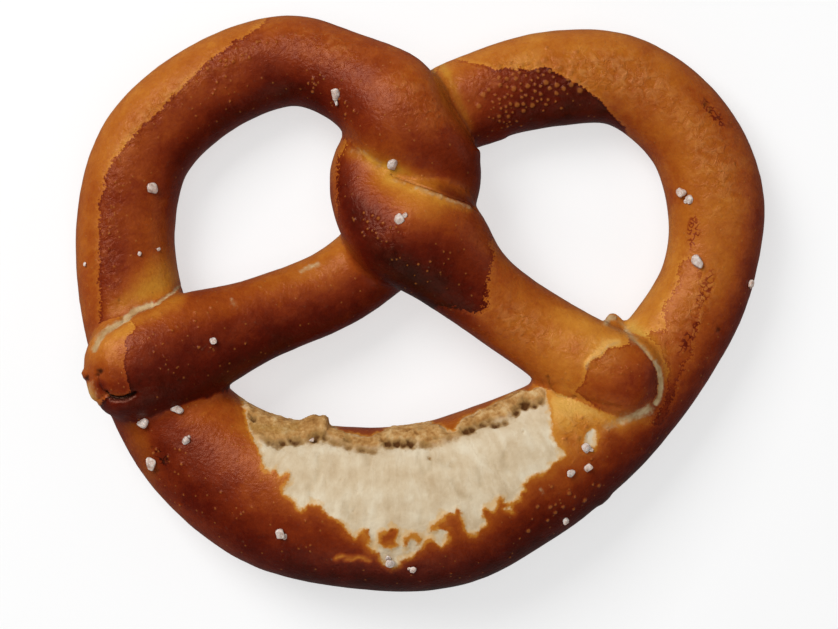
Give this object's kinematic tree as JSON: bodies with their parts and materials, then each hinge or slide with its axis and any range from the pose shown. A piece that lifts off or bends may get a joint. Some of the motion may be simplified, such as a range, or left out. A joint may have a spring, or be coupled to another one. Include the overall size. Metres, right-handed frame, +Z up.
{
  "type": "soft pretzel",
  "caption": "Soft baked pretzel with a thick, split belly, two loops round open gaps, crossed arms twisted at the middle and sparse coarse salt on a glossy brown crust.",
  "frame": {"origin": "on the surface that the pretzel lies on, under the middle of its bounding box", "axes": "+X from the left loop to the right loop, the longest extent; +Y from the thick split belly to the top of the two loops; +Z up, the shortest extent"},
  "size_m": [0.1559, 0.1296, 0.028],
  "materials": {
    "crust": "baked lye crust, satin to glossy, dark chestnut on the outside of the rope and orange-gold where it was shielded",
    "salt": "coarse white pretzel salt, matt and slightly rough"
  },
  "bodies": {
    "root": {"pretzel": "crust"}
  },
  "joints": []
}
